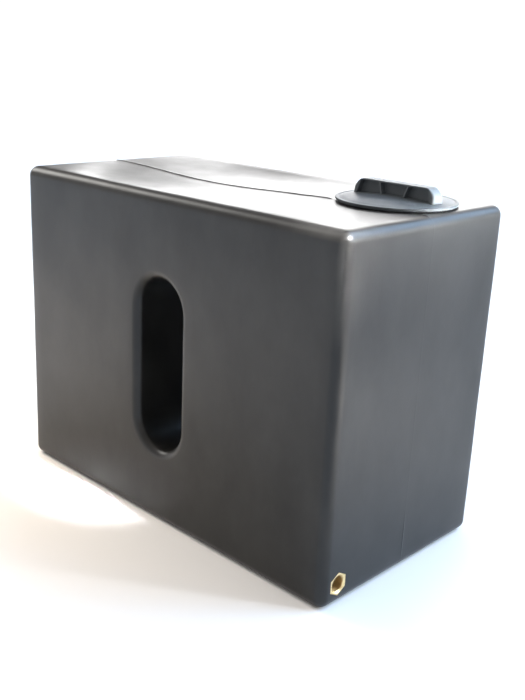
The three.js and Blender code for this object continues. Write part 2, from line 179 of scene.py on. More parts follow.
def apply_modifiers(obj):
    """Bakes the object's modifiers into its mesh."""
    graph = bpy.context.evaluated_depsgraph_get()
    mesh = bpy.data.meshes.new_from_object(obj.evaluated_get(graph))
    old = obj.data
    obj.modifiers.clear()
    obj.data = mesh
    bpy.data.meshes.remove(old)


def combine(obj, other, operation):
    """Joins another closed solid to this one, or cuts it away, and removes the other object."""
    modifier = obj.modifiers.new("combine", "BOOLEAN")
    modifier.operation = operation
    modifier.solver = "EXACT"
    modifier.object = other
    apply_modifiers(obj)
    bpy.data.objects.remove(other)
    tidy_mesh(obj)
    return obj


def cut(obj, *others):
    """Cuts other solids away from this one."""
    for other in others:
        combine(obj, other, "DIFFERENCE")
    return obj


def join(obj, *others):
    """Joins other solids to this one."""
    for other in others:
        combine(obj, other, "UNION")
    return obj


def grid_faces(rows, columns, closed_rows):
    """Quads between rows of points, where every row closes on itself."""
    faces = []
    for i in range(rows if closed_rows else rows - 1):
        for j in range(columns):
            k = (j + 1) % columns
            low, high = i * columns, ((i + 1) % rows) * columns
            faces.append((low + j, low + k, high + k, high + j))
    return faces


def loft(name, rings):
    """A closed solid through rings of points, with flat ends."""
    columns = len(rings[0])
    vertices = [p for ring in rings for p in ring]
    faces = grid_faces(len(rings), columns, False)
    last = (len(rings) - 1) * columns
    faces.append(tuple(range(columns)))
    faces.append(tuple(range(last, last + columns)))
    return make_object(name, vertices, faces)


def rounded(profile, radius, steps=4):
    """Rounds every corner of an open line of (radius, height) points but the two ends."""
    most = 0.45  # of the length of a side
    points = [Vector(p) for p in profile]
    result = [points[0]]
    for before, corner, after in zip(points, points[1:], points[2:]):
        back, ahead = (before - corner), (after - corner)
        turn = math.pi - back.angle(ahead)
        reach = min(radius * math.tan(turn / 2), back.length * most, ahead.length * most)
        start, end = corner + back.normalized() * reach, corner + ahead.normalized() * reach
        for i in range(steps + 1):
            t = i / steps
            result.append((1 - t) ** 2 * start + 2 * t * (1 - t) * corner + t ** 2 * end)
    result.append(points[-1])
    return result


def circle(radius, height, steps):
    """Points around the Z axis, the first one towards +X."""
    angles = [2 * math.pi * j / steps for j in range(steps)]
    return [(radius * math.cos(angle), radius * math.sin(angle), height) for angle in angles]


def turned(name, profile, steps=160, closed=False):
    """Turns a line of (radius, height) points about the Z axis. A closed line makes a ring."""
    points = profile[:-1] if closed else profile
    vertices = []
    for radius, height in points:
        vertices += circle(radius, height, steps)
    return make_object(name, vertices, grid_faces(len(points), steps, closed))


def post(name, radius, low, high, steps=96):
    """An upright cylinder on the Z axis, or with few steps a prism."""
    return loft(name, [circle(radius, low, steps), circle(radius, high, steps)])


def helix(name, section, low, turns, phase, steps_per_turn=96, lead=THREAD_LEAD):
    """A thread ridge: a section of (radius, offset) points that climbs a helix and runs out at both ends."""
    fade = 0.06  # turns, over which an end grows from its stub to the full section
    stub = fade / 8
    end_thickness = 0.3  # of the full one
    steps = round(turns * steps_per_turn)
    base = max(section, key=lambda p: abs(p[1]))[0]
    rings = []
    for i in range(steps + 1):
        turn = turns * i / steps
        angle = 2 * math.pi * (turn + phase)
        grow = min(1, (turn + stub) / fade, (turns - turn + stub) / fade)
        ring = []
        for radius, offset in section:
            height = low + turn * lead + offset * (end_thickness + (1 - end_thickness) * grow)
            kept = base + (radius - base) * grow
            ring.append((kept * math.cos(angle), kept * math.sin(angle), height))
        rings.append(ring)
    return loft(name, rings)


def place(obj, offset):
    """Moves the mesh itself, so that the object stays at the origin."""
    obj.data.transform(Matrix.Translation(offset))
    return obj


def at_filler(obj):
    """Moves a piece made on the Z axis to the filler's axis."""
    return place(obj, (FILLER.x, FILLER.y, 0))


def smoothstep(value, low, high):
    """Rises smoothly from 0 at low to 1 at high."""
    t = np.clip((value - low) / (high - low), 0, 1)
    return t * t * (3 - 2 * t)


# ---------------------------------------------------------------- body

def box_outline(half_x, half_z, radius, side, corner, top):
    """A rectangle with round corners, as (x, z) points, counter-clockwise from the low right.

    side, corner and top are the numbers of points along one of each.
    """
    points = []
    spans = ((1, side), (1, top), (-1, side), (-1, top))
    for quarter, (sign, count) in enumerate(spans):
        for i in range(count):
            t = 2 * i / count - 1
            if quarter % 2 == 0:
                points.append((sign * half_x, sign * t * (half_z - radius)))
            else:
                points.append((-sign * t * (half_x - radius), sign * half_z))
        centre_x = (half_x - radius) * (1 if quarter in (0, 3) else -1)
        centre_z = (half_z - radius) * (1 if quarter in (0, 1) else -1)
        for i in range(corner):
            angle = (quarter + i / corner) * math.pi / 2
            points.append((centre_x + radius * math.cos(angle), centre_z + radius * math.sin(angle)))
    return np.array(points)


def slot_outline(half_width, half_height, side, corner, top):
    """An upright slot with round ends, with its points opposite those of box_outline."""
    straight = half_height - half_width
    arc = top + 2 * corner
    points = []
    for sign in (1, -1):
        for i in range(side):
            points.append((sign * half_width, sign * straight * (2 * i / side - 1)))
        for i in range(arc):
            angle = math.pi * i / arc
            x, z = half_width * math.cos(angle), half_width * math.sin(angle) + straight
            points.append((sign * x, sign * z))
    return np.array(points)


def tunnel_stations(wall, counts, fillet_steps):
    """The skin's (y, outline) stations from the middle of the strap tunnel to the front face."""
    def slot(flare):
        half_width = TUNNEL_HALF_WIDTH + wall + flare
        half_height = TUNNEL_HALF_HEIGHT + wall + flare
        return slot_outline(half_width, half_height, *counts) + (0, TUNNEL_Z)

    mouth = TUNNEL_MOUTH - wall
    straight = HALF_Y - wall - mouth
    stations = []
    tunnel_steps = 6
    for i in range(tunnel_steps):
        t = i / tunnel_steps
        stations.append((-t * straight, slot(-TUNNEL_DRAFT * (1 - t))))
    for i in range(fillet_steps + 1):
        angle = math.pi / 2 * i / fillet_steps
        y = -(straight + mouth * math.sin(angle))
        stations.append((y, slot(mouth * (1 - math.cos(angle)))))
    return stations


def body_skin(name, wall, counts, face_steps, fillet_steps, side_stations):
    """The whole skin around the strap tunnel, or with a wall its inner side."""
    half_x, half_z, face, edge = HALF_X - wall, TOP / 2 - wall, HALF_Y - wall, EDGE - wall
    stations = tunnel_stations(wall, counts, fillet_steps)
    rim = stations[-1][1]
    border = box_outline(half_x - edge, half_z - edge, 0, *counts) + (0, TOP / 2)
    for i in range(1, face_steps):
        t = i / face_steps
        stations.append((-face, (1 - t) * rim + t * border))
    for i in range(fillet_steps + 1):
        angle = math.pi / 2 * i / fillet_steps
        grow = edge * math.sin(angle)
        outline = box_outline(half_x - edge + grow, half_z - edge + grow, grow, *counts) + (0, TOP / 2)
        stations.append((-(face - edge + edge * math.cos(angle)), outline))
    side = stations[-1][1]
    for y in side_stations:
        stations.append((-y, side))
    stations.append((0, side))
    back_half = [(-y, outline) for y, outline in stations[-2:0:-1]]
    stations += back_half
    vertices = []
    for y, outline in stations:
        vertices += [(x, y, z) for x, z in outline]
    faces = grid_faces(len(stations), len(side), True)
    return make_object(name, vertices, faces)


def dish_depth(x, y):
    """How far the top panel has sunk. The pad under the filler stays level."""
    u = np.clip(x / (HALF_X - EDGE), -1, 1)
    v = np.clip(y / (HALF_Y - EDGE), -1, 1)
    edge = (1 - u ** 6) * (1 - v ** 4)
    along = np.exp(-(((x - DISH_X) / DISH_REACH) ** 2))
    pad = smoothstep(np.hypot(x - FILLER.x, y - FILLER.y), LID_RADIUS, LID_RADIUS + PAD_BLEND)
    return DISH_DEPTH * along * edge * pad


def read_points(obj):
    """The mesh's vertices as an array of (x, y, z) rows."""
    points = np.empty(len(obj.data.vertices) * 3)
    obj.data.vertices.foreach_get("co", points)
    return points.reshape(-1, 3)


def write_points(obj, points):
    """Moves the mesh's vertices to these points."""
    obj.data.vertices.foreach_set("co", points.ravel())
    obj.data.update()


def sink_top(obj, level):
    """Lowers the flat top of a skin at this level by the depth of the dish."""
    points = read_points(obj)
    flat = points[:, 2] > level - 0.01 * MM
    points[flat, 2] -= dish_depth(points[flat, 0], points[flat, 1])
    write_points(obj, points)


def raise_parting_line(obj):
    """A thin ridge where the mould's halves met, over the top and down the ends, faint but for its foot."""
    height_top, height_end, height_foot, half_width = 1.3 * MM, 0.05 * MM, 0.4 * MM, 2 * MM
    foot_full, foot_end = 65 * MM, 95 * MM
    ripple_share, ripple_length = 0.35, 30 * MM
    points = read_points(obj)
    x, y, z = points.T
    near = (np.abs(y) < half_width) & (z > EDGE) & ((np.abs(x) > HALF_X - EDGE) | (z > TOP - 2 * EDGE))
    clear = smoothstep(np.hypot(x - FILLER.x, y - FILLER.y), LID_RADIUS + 1 * MM, LID_RADIUS + 6 * MM)
    on_top = 1 - smoothstep(np.abs(x), HALF_X - 1.3 * EDGE, HALF_X - 0.3 * EDGE)
    height = np.cos(np.pi / 2 * np.clip(np.abs(y) / half_width, 0, 1)) ** 2
    on_end = height_end + (height_foot - height_end) * smoothstep(-z, -foot_end, -foot_full)
    height *= on_end + (height_top - on_end) * on_top
    height *= np.where(z > TOP - EDGE, clear, smoothstep(z, EDGE, 2 * EDGE))
    for i in np.flatnonzero(near):
        ripple = 1 + ripple_share * noise.noise(Vector((x[i], 0, z[i])) / ripple_length)
        middle = Vector((np.clip(x[i], -HALF_X + EDGE, HALF_X - EDGE), 0, np.clip(z[i], EDGE, TOP - EDGE)))
        outward = (Vector((x[i], 0, z[i])) - middle).normalized()
        points[i] += np.array(outward) * height[i] * ripple
    write_points(obj, points)


def ripple_skin(obj):
    """The slow waves that a moulded panel has, left out at the base, the filler pad and the outlet."""
    depth, length, finer = 0.45 * MM, 110 * MM, 0.4
    points = read_points(obj)
    normals = np.empty(len(points) * 3)
    obj.data.vertex_normals.foreach_get("vector", normals)
    normals = normals.reshape(-1, 3)
    x, y, z = points.T
    to_filler = np.hypot(x - FILLER.x, y - FILLER.y)
    calm = smoothstep(z, 0, 2 * EDGE)
    calm *= smoothstep(to_filler, LID_RADIUS, LID_RADIUS + PAD_BLEND) + (z < TOP - EDGE)
    to_outlet = np.linalg.norm(points - np.array(OUTLET), axis=1)
    calm = np.clip(calm, 0, 1) * smoothstep(to_outlet, 20 * MM, 60 * MM)
    for i, point in enumerate(points):
        wave = noise.noise(Vector(point) / length) + finer * noise.noise(Vector(point) / (length * finer))
        points[i] += normals[i] * depth * calm[i] * wave
    write_points(obj, points)


def along_outlet(obj):
    """Lays a piece made on the Z axis along the outlet's axis: +Z points into the tank, and +X up."""
    obj.data.transform(Matrix.Translation(OUTLET) @ Matrix.Rotation(-math.pi / 2, 4, "Y"))
    return obj


def hexagon_radius(grow):
    """From the middle of the brass hexagon to its corners, with its flats moved out by this much."""
    return (OUTLET_FLATS / 2 + grow) / math.cos(math.pi / 6)


def side_places(steps):
    """Even places across the side panels, from the front edge towards the middle."""
    return [(HALF_Y - EDGE) * (1 - i / steps) for i in range(1, steps)]


def tank_body():
    """The hollow moulding, with its boss, its filler hole and the hole for the brass socket."""
    beside_ridge = [2.4 * MM, 1.6 * MM, 1.1 * MM, 0.6 * MM]
    outer = body_skin(
        "tank_body", wall=0, counts=(52, 8, 68), face_steps=16, fillet_steps=8,
        side_stations=side_places(14) + beside_ridge,
    )
    sink_top(outer, TOP)
    ripple_skin(outer)
    raise_parting_line(outer)
    inner = body_skin(
        "water_space", wall=WALL, counts=(20, 4, 34), face_steps=6, fillet_steps=4,
        side_stations=side_places(8),
    )
    sink_top(inner, TOP - WALL)
    boss = along_outlet(post("boss", BOSS_RADIUS, 0, BOSS_LENGTH))
    cut(inner, boss)
    filler_hole = place(post("filler_hole", BARREL_RADIUS + GAP, -4 * WALL, WALL), FILLER)
    socket_hole = along_outlet(post("socket_hole", hexagon_radius(GAP), -WALL, OUTLET_LENGTH + GAP, 6))
    outlet_hole = along_outlet(post("outlet_hole", PIPE_MINOR_RADIUS, 0, BOSS_LENGTH + WALL))
    return cut(outer, inner, filler_hole, socket_hole, outlet_hole)


# ---------------------------------------------------------------- outlet

def outlet_insert():
    """The hexagonal brass socket with its pipe thread."""
    chamfer, mouth = 0.5 * MM, 1.2 * MM
    corner_radius = hexagon_radius(0)
    socket = loft("outlet_socket", [
        circle(corner_radius - chamfer, 0, 6),
        circle(corner_radius, chamfer, 6),
        circle(corner_radius, OUTLET_LENGTH - chamfer, 6),
        circle(corner_radius - chamfer, OUTLET_LENGTH, 6),
    ])
    bore = turned("bore", [
        (0, -mouth),
        (PIPE_MAJOR_RADIUS + 2 * mouth, -mouth),
        (PIPE_MAJOR_RADIUS - 0.2 * MM, mouth),
        (PIPE_MINOR_RADIUS, mouth + 1 * MM),
        (PIPE_MINOR_RADIUS, OUTLET_LENGTH + mouth),
        (0, OUTLET_LENGTH + mouth),
    ], 96)
    cut(socket, bore)
    inside_bore, mouth_half, floor_half = PIPE_MINOR_RADIUS - 0.3 * MM, 0.8 * MM, 0.15 * MM
    groove = [
        (inside_bore, -mouth_half),
        (inside_bore, mouth_half),
        (PIPE_MAJOR_RADIUS, floor_half),
        (PIPE_MAJOR_RADIUS, -floor_half),
    ]
    turns = (OUTLET_LENGTH - 3 * MM) / PIPE_PITCH
    cut(socket, helix("thread", groove, 2 * MM, turns, phase=0, steps_per_turn=48, lead=PIPE_PITCH))
    return along_outlet(socket)


# ---------------------------------------------------------------- filler

def thread_sections():
    """The ridge sections of the ring, which point inward, and of the lid, which point outward."""
    ring = [
        (BARREL_BORE - THREAD_DEPTH, -THREAD_CREST_HALF),
        (BARREL_BORE - THREAD_DEPTH, THREAD_CREST_HALF),
        (BARREL_BORE + THREAD_OVERLAP, THREAD_ROOT_HALF),
        (BARREL_BORE + THREAD_OVERLAP, -THREAD_ROOT_HALF),
    ]
    lid = [
        (SKIRT_RADIUS - THREAD_OVERLAP, -THREAD_ROOT_HALF),
        (SKIRT_RADIUS - THREAD_OVERLAP, THREAD_ROOT_HALF),
        (SKIRT_RADIUS + THREAD_DEPTH, THREAD_CREST_HALF),
        (SKIRT_RADIUS + THREAD_DEPTH, -THREAD_CREST_HALF),
    ]
    return ring, lid


def closed_ring(name, profile, radius, steps=160):
    """A turned ring with rounded corners, from a closed line whose first and last points agree."""
    start = (Vector(profile[0]) + Vector(profile[1])) / 2
    line = rounded([start, *profile[1:], start], radius)
    return turned(name, line, steps, closed=True)


def countersink(number):
    """The cutter for one screw's hole, while the ring is still on the Z axis."""
    low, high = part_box(f"ring_screw_{number}")
    centre = (low + high) / 2 - FILLER
    head, shank = (high.x - low.x) / 2 + GAP, SCREW_RADIUS + GAP
    rim, above = high.z - SCREW_HEAD_RIM, high.z + 2 * MM
    hole = turned("countersink", [
        (0, above),
        (head, above),
        (head, rim),
        (shank, rim - (head - shank)),
        (shank, RING_LOW.z),
        (0, RING_LOW.z),
    ], 32)
    return place(hole, (centre.x, centre.y, 0))


def filler_ring():
    """The ring that the lid screws into, with the seal's groove in its flange."""
    groove_floor = SEAL_LOW.z - GAP
    ring = closed_ring("screw_ring", [
        (BARREL_BORE, RING_LOW.z),
        (BARREL_RADIUS, RING_LOW.z),
        (BARREL_RADIUS, FLANGE_LOW),
        (FLANGE_RADIUS, FLANGE_LOW),
        (FLANGE_RADIUS, FLANGE_TOP),
        (SEAL_OUTER + GAP, FLANGE_TOP),
        (SEAL_OUTER + GAP, groove_floor),
        (SEAL_INNER - GAP, groove_floor),
        (SEAL_INNER - GAP, FLANGE_TOP),
        (BARREL_BORE, FLANGE_TOP),
        (BARREL_BORE, RING_LOW.z),
    ], 0.5 * MM)
    section = thread_sections()[0]
    for start in range(THREAD_STARTS):
        join(ring, helix("thread", section, RING_THREAD_LOW, RING_THREAD_TURNS, start / THREAD_STARTS))
    for number in range(1, SCREW_COUNT + 1):
        cut(ring, countersink(number))
    return at_filler(ring)


def ring_gasket():
    gasket = closed_ring("flange_gasket", [
        (BARREL_RADIUS + GAP, GASKET_LOW.z),
        (GASKET_RADIUS, GASKET_LOW.z),
        (GASKET_RADIUS, GASKET_HIGH.z),
        (BARREL_RADIUS + GAP, GASKET_HIGH.z),
        (BARREL_RADIUS + GAP, GASKET_LOW.z),
    ], 0.2 * MM)
    return at_filler(gasket)


def recess_slot(top, degrees):
    """The cutter for one slot of a cross recess, which narrows towards its floor."""
    reach, half = 1.7 * MM, 0.4 * MM
    corners = ((-reach, -half), (reach, -half), (reach, half), (-reach, half))
    rings = []
    for height, along, across in ((top - 1.1 * MM, 0.45, 1), (top + 1 * MM, 1.1, 1.2)):
        rings.append([(x * along, y * across, height) for x, y in corners])
    slot = loft("recess", rings)
    slot.data.transform(Matrix.Rotation(math.radians(degrees), 4, "Z"))
    return slot


def ring_screw(number):
    """A countersunk screw with a cross recess, turned a little differently from its neighbours."""
    low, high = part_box(f"ring_screw_{number}")
    head, shank, rim = (high.x - low.x) / 2, SCREW_RADIUS, high.z - SCREW_HEAD_RIM
    tip = low.z + 4 * MM
    line = rounded([
        (0, low.z),
        (shank, tip),
        (shank, rim - (head - shank)),
        (head, rim),
        (head, high.z),
        (0, high.z + 0.01 * MM),
    ], 0.2 * MM, 3)
    screw = turned(f"countersunk_screw_{number}", line, 32)
    root, root_half, crest = shank - 0.2 * MM, 0.45 * MM, shank + 0.5 * MM
    turns, pitch = 5, 1.4 * MM
    section = [(root, -root_half), (root, root_half), (crest, 0)]
    join(screw, helix("thread", section, tip, turns, phase=0, steps_per_turn=24, lead=pitch))
    turned_by = 37 * number
    cut(screw, recess_slot(high.z, turned_by), recess_slot(high.z, 90 + turned_by))
    centre = (low + high) / 2
    return place(screw, (centre.x, centre.y, 0))


def lid_seal():
    seal = closed_ring("lid_seal_ring", [
        (SEAL_INNER, SEAL_LOW.z),
        (SEAL_OUTER, SEAL_LOW.z),
        (SEAL_OUTER, SEAL_HIGH.z),
        (SEAL_INNER, SEAL_HIGH.z),
        (SEAL_INNER, SEAL_LOW.z),
    ], 0.8 * MM)
    return at_filler(seal)


# ---------------------------------------------------------------- lid

def dome_height(radius):
    """How far the lid's dome stands above its rim at this radius."""
    return DOME_RISE * max(0, 1 - (radius / DOME_RADIUS) ** 2)


def lid_disc():
    """The domed disc with its rounded rim and rim groove, and the skirt under it."""
    groove_roof = SEAL_HIGH.z + GAP
    rim_inner, rim_groove_outer, rim_groove = DOME_RADIUS + 2 * MM, DOME_RADIUS + 1.2 * MM, LID_TOP - 0.5 * MM
    steps = 12
    inside = [SKIRT_BORE * i / steps for i in range(steps + 1)]
    outside = [DOME_RADIUS * (1 - i / steps) for i in range(1, steps + 1)]
    line = [(radius, LID_UNDER + dome_height(radius)) for radius in inside]
    line += [
        (SKIRT_BORE, LID_LOW.z),
        (SKIRT_RADIUS, LID_LOW.z),
        (SKIRT_RADIUS, LID_UNDER),
        (SEAL_INNER - GAP, LID_UNDER),
        (SEAL_INNER - GAP, groove_roof),
        (SEAL_OUTER + GAP, groove_roof),
        (SEAL_OUTER + GAP, LID_UNDER),
        (LID_RADIUS, LID_UNDER),
        (LID_RADIUS, LID_TOP),
        (rim_inner, LID_TOP),
        (rim_groove_outer, rim_groove),
        (DOME_RADIUS, rim_groove),
    ]
    line += [(radius, LID_TOP + dome_height(radius)) for radius in outside]
    return turned("filler_lid", rounded(line, 0.7 * MM), 192)


def cell_solid(name, xs, ys, zs, is_filled):
    """The skin of the filled cells of a block cut at xs, ys and zs."""
    shape = (len(xs) - 1, len(ys) - 1, len(zs) - 1)
    filled = {cell for cell in np.ndindex(shape) if is_filled(*cell)}
    corners = {}
    faces = []
    for cell in sorted(filled):
        for axis in range(3):
            for side in (0, 1):
                step = [0, 0, 0]
                step[axis] = 1 if side else -1
                if tuple(np.add(cell, step)) in filled:
                    continue
                u, v = (axis + 1) % 3, (axis + 2) % 3
                face = []
                for du, dv in ((0, 0), (1, 0), (1, 1), (0, 1)):
                    corner = list(cell)
                    corner[axis] += side
                    corner[u] += du
                    corner[v] += dv
                    face.append(corners.setdefault(tuple(corner), len(corners)))
                faces.append(face)
    vertices = [(xs[a], ys[b], zs[c]) for a, b, c in corners]
    return make_object(name, vertices, faces)


def soften(obj, width, levels):
    """Rounds the edges of a blocky solid."""
    bm = bmesh.new()
    bm.from_mesh(obj.data)
    sharp = [e for e in bm.edges if e.is_manifold and e.calc_face_angle() > math.radians(30)]
    bmesh.ops.bevel(
        bm, geom=sharp, offset=width, segments=2, profile=0.5, affect="EDGES", clamp_overlap=True,
    )
    bm.to_mesh(obj.data)
    bm.free()
    modifier = obj.modifiers.new("smooth", "SUBSURF")
    modifier.levels = levels
    apply_modifiers(obj)
    tidy_mesh(obj)
    return obj


def grip_blocks():
    """The bar as a block with upright sides and six finger pockets, three on each side of the web."""
    xs = [-x for x in GRIP_STATIONS[:0:-1]] + GRIP_STATIONS
    halves = [GRIP_WEB_HALF, GRIP_CORNER_Y, GRIP_HALF_WIDTH]
    ys = [-y for y in halves[::-1]] + halves
    zs = [0, 1 * MM, GRIP_SHOULDER, 13 * MM, 18 * MM, GRIP_UNDER_FLANGE, GRIP_HEIGHT]
    pocket_columns, web_row, pocket_layers = (2, 3, 5, 6, 8, 9), 2, (1, 2, 3, 4)

    def is_filled(column, row, layer):
        return column not in pocket_columns or row == web_row or layer not in pocket_layers

    return cell_solid("grip", xs, ys, zs, is_filled)


def grip_stations_at(height):
    """Where GRIP_STATIONS lie at a height: ribs and pocket ends lean, and the bar's ends round off."""
    rise = height / GRIP_UNDER_FLANGE
    rib = RIB_FOOT_X + (RIB_HEAD_X - RIB_FOOT_X) * rise
    end = END_FOOT_X + (END_HEAD_X - END_FOOT_X) * rise
    over = min(1, max(0, (height - GRIP_SHOULDER) / (GRIP_HEIGHT - GRIP_SHOULDER)))
    length = GRIP_HALF_LENGTH - GRIP_END_ROUND * (1 - math.sqrt(1 - over ** 2))
    middle = (rib + end) / 2
    end = min(end, length - 2 * MM)
    corner = max(length - GRIP_CORNER, (end + length) / 2)
    return [0, rib - GRIP_RIB_HALF, rib + GRIP_RIB_HALF, middle, end, corner, length]


def grip_bar():
    """The bar that turns the lid: round-topped ends, a web and leaning ribs under a top flange."""
    bar = soften(grip_blocks(), 0.7 * MM, 2)
    points = read_points(bar)
    for i, (x, y, z) in enumerate(points):
        past_x = max(0, abs(x) - GRIP_CORNER_X) / GRIP_CORNER
        past_y = max(0, abs(y) - GRIP_CORNER_Y) / GRIP_CORNER
        along = abs(x) - past_x * GRIP_CORNER * (1 - math.sqrt(1 - past_y ** 2 / 2))
        across = abs(y) - past_y * GRIP_CORNER * (1 - math.sqrt(1 - past_x ** 2 / 2))
        narrowed = 1 - GRIP_DRAFT / GRIP_HALF_WIDTH * z / GRIP_HEIGHT
        points[i] = (
            math.copysign(float(np.interp(along, GRIP_STATIONS, grip_stations_at(z))), x),
            math.copysign(across * narrowed, y),
            z,
        )
    write_points(bar, points)
    return place(bar, (0, 0, LID_TOP))


def add_vent(body):
    """The round pad behind the grip, with the valve's stem hole and four air holes in its recess."""
    vent = (VALVE_LOW + VALVE_HIGH) / 2 - FILLER
    centre = (vent.x, vent.y, 0)
    join(body, place(post("vent_pad", VENT_PAD, LID_UNDER, LID_TOP + VENT_PAD_RISE, 48), centre))
    cut(body, place(post("vent_recess", VENT_RECESS, LID_TOP, LID_TOP + DOME_RISE, 48), centre))
    stem_hole, air_hole, air_circle = 2.5 * MM, 0.9 * MM, 5 * MM
    holes = [(0, 0, stem_hole)]
    for k in range(4):
        angle = k * math.pi / 2
        holes.append((air_circle * math.cos(angle), air_circle * math.sin(angle), air_hole))
    for x, y, radius in holes:
        hole = post("vent_hole", radius, LID_UNDER - 1 * MM, LID_TOP + 1 * MM, 24)
        cut(body, place(hole, (vent.x + x, vent.y + y, 0)))


def lid():
    """The lid in one piece: disc, skirt, thread, grip bar and vent."""
    body = lid_disc()
    section = thread_sections()[1]
    for start in range(THREAD_STARTS):
        join(body, helix("thread", section, LID_THREAD_LOW, LID_THREAD_TURNS, start / THREAD_STARTS))
    join(body, grip_bar())
    add_vent(body)
    return at_filler(body)


def vent_valve():
    """The rubber umbrella under the lid, held by a bulb on top."""
    stem, flap, bulb = 2.2 * MM, 8 * MM, 3.4 * MM
    flap_top = LID_UNDER - GAP
    line = rounded([
        (0, VALVE_LOW.z),
        (stem, VALVE_LOW.z),
        (flap, flap_top - 0.6 * MM),
        (flap, flap_top),
        (stem, flap_top),
        (stem, LID_TOP + GAP),
        (bulb, LID_TOP + GAP),
        (bulb, LID_TOP + 2 * GAP),
        (stem * 0.8, VALVE_HIGH.z),
        (0, VALVE_HIGH.z),
    ], 0.4 * MM)
    centre = (VALVE_LOW + VALVE_HIGH) / 2
    return place(turned("umbrella_valve", line, 48), (centre.x, centre.y, 0))


# ---------------------------------------------------------------- materials

def add(tree, kind, inputs=None, **settings):
    """Adds a shader node. An input is a plain value, or the output socket of another node."""
    made = tree.nodes.new("ShaderNode" + kind)
    for key, value in settings.items():
        setattr(made, key, value)
    for key, value in (inputs or {}).items():
        if isinstance(value, bpy.types.NodeSocket):
            tree.links.new(value, made.inputs[key])
        else:
            made.inputs[key].default_value = value
    return made


def new_material(name):
    material = bpy.data.materials.new(name)
    material.use_nodes = True
    material.node_tree.nodes.clear()
    return material, material.node_tree


def finish_material(tree, colour, roughness, **inputs):
    """Ends a material with the surface shader. Its further inputs go by their own names."""
    shader = add(tree, "BsdfPrincipled", {"Base Color": colour, "Roughness": roughness, **inputs})
    output = tree.nodes.new("ShaderNodeOutputMaterial")
    tree.links.new(shader.outputs[0], output.inputs[0])


def grain(tree, scale, detail=3, roughness=0.5, stretch=(1, 1, 1)):
    """Noise in the piece's own metres, as a factor from 0 to 1."""
    where = add(tree, "TexCoord").outputs["Object"]
    mapped = add(tree, "Mapping", {"Vector": where, "Scale": stretch})
    made = add(tree, "TexNoise", {
        "Vector": mapped.outputs[0], "Scale": scale, "Detail": detail, "Roughness": roughness,
    })
    return made.outputs[0]


def ramp(tree, factor, low, high, to_low=0.0, to_high=1.0):
    """Maps a factor from low..high to to_low..to_high."""
    made = add(tree, "MapRange", {
        "Value": factor, "From Min": low, "From Max": high, "To Min": to_low, "To Max": to_high,
    })
    return made.outputs[0]


def bump(tree, height, strength, distance):
    """The surface's normal over small heights. The distance is in metres."""
    return add(tree, "Bump", {"Strength": strength, "Distance": distance, "Height": height}).outputs[0]


def mix_colours(tree, factor, first, second):
    """Mixes two colours. Each of the three is a plain value or an output socket."""
    made = add(tree, "Mix", data_type="RGBA")
    colour_inputs = [s for s in made.inputs if s.type == "RGBA"]
    for socket, value in zip([made.inputs[0], *colour_inputs], (factor, first, second)):
        if isinstance(value, bpy.types.NodeSocket):
            tree.links.new(value, socket)
        else:
            socket.default_value = value
    return next(s for s in made.outputs if s.type == "RGBA")


def moulded_material():
    """Black moulded polyethylene: half gloss, mottled and faintly smeared, with a fine orange peel."""
    material, tree = new_material("moulded_polyethylene")
    mottle = ramp(tree, grain(tree, 12, 5, 0.6, (1, 1, 0.6)), 0.3, 0.7)
    smear = grain(tree, 14, 4, 0.6, (1, 1, 0.35))
    colour = mix_colours(tree, mottle, (0.0065, 0.0063, 0.006, 1), (0.0205, 0.0198, 0.0188, 1))
    roughness = ramp(tree, smear, 0.2, 0.8, 0.285, 0.385)
    peel = bump(tree, grain(tree, 420, 3, 0.6), 0.12, 0.6 * MM)
    finish_material(tree, colour, roughness, IOR=1.4, Normal=peel)
    return material


def lid_material():
    """Dark injection-moulded plastic with a fine etched grain. Its blue-grey base colour is partly the
    plastic's own grey and partly a painted reflection of the blue sky.
    """
    material, tree = new_material("moulded_lid_plastic")
    mottle = grain(tree, 30, 4, 0.6)
    # painted reflection: the base colour is lighter and bluer than black plastic, partly standing in for the
    # blue sky that the lid and the ring mirror
    colour = mix_colours(tree, mottle, (0.045, 0.053, 0.06, 1), (0.08, 0.092, 0.102, 1))
    roughness = ramp(tree, grain(tree, 60, 4, 0.6), 0.1, 0.9, 0.38, 0.56)
    etched = bump(tree, grain(tree, 1600, 2, 0.5), 0.25, 0.3 * MM)
    finish_material(tree, colour, roughness, IOR=1.5, Normal=etched)
    return material


def brass_material():
    material, tree = new_material("machined_brass")
    tarnish = grain(tree, 260, 5, 0.6)
    colour = mix_colours(tree, tarnish, (0.92, 0.74, 0.42, 1), (0.8, 0.6, 0.3, 1))
    roughness = ramp(tree, tarnish, 0.3, 0.7, 0.3, 0.42)
    turning = bump(tree, grain(tree, 1500, 2, 0.5, (1, 0.2, 0.2)), 0.2, 0.2 * MM)
    finish_material(tree, colour, roughness, Metallic=1.0, Normal=turning)
    return material


def rubber_material():
    material, tree = new_material("black_rubber")
    mottle = grain(tree, 120, 4, 0.6)
    colour = mix_colours(tree, mottle, (0.012, 0.012, 0.012, 1), (0.024, 0.024, 0.025, 1))
    finish_material(tree, colour, 0.75, Normal=bump(tree, grain(tree, 900, 2), 0.3, 0.2 * MM))
    return material


def steel_material():
    material, tree = new_material("stainless_steel")
    mottle = grain(tree, 700, 4, 0.6)
    colour = mix_colours(tree, mottle, (0.56, 0.57, 0.58, 1), (0.44, 0.45, 0.46, 1))
    roughness = ramp(tree, mottle, 0.3, 0.7, 0.29, 0.38)
    finish_material(tree, colour, roughness, Metallic=1.0, Normal=bump(tree, mottle, 0.1, 0.1 * MM))
    return material


def floor_material():
    material, tree = new_material("pale_floor")
    colour = mix_colours(tree, grain(tree, 3, 3), (0.88, 0.88, 0.88, 1), (0.9, 0.9, 0.9, 1))
    finish_material(tree, colour, 0.8)
    return material


# ---------------------------------------------------------------- studio

